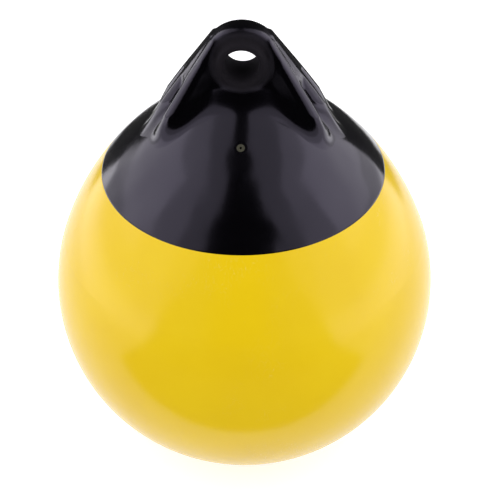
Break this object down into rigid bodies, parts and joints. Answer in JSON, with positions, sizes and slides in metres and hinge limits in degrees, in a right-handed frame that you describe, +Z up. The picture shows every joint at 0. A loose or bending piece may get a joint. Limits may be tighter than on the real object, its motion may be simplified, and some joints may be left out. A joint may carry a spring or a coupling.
{
  "type": "inflatable mooring buoy",
  "caption": "Round air-filled vinyl buoy with a dark crown, a moulded rope eye on spread fingers and a needle valve, for mooring, marking or fending.",
  "frame": {"origin": "on the ball's axis, at the water's surface when the buoy floats unladen", "axes": "+Z up along the ball's axis, towards the rope eye; +Y along the eye's bore, away from the valve; +X along the middle fingers"},
  "size_m": [0.292, 0.292, 0.3815],
  "materials": {
    "float_vinyl": "glossy yellow vinyl",
    "crown_vinyl": "glossy black vinyl",
    "valve_rubber": "matt grey-olive rubber"
  },
  "bodies": {
    "root": {"float_shell": "float_vinyl", "crown_shell": "crown_vinyl", "rope_hold": "crown_vinyl", "valve_bush": "valve_rubber"}
  },
  "joints": []
}
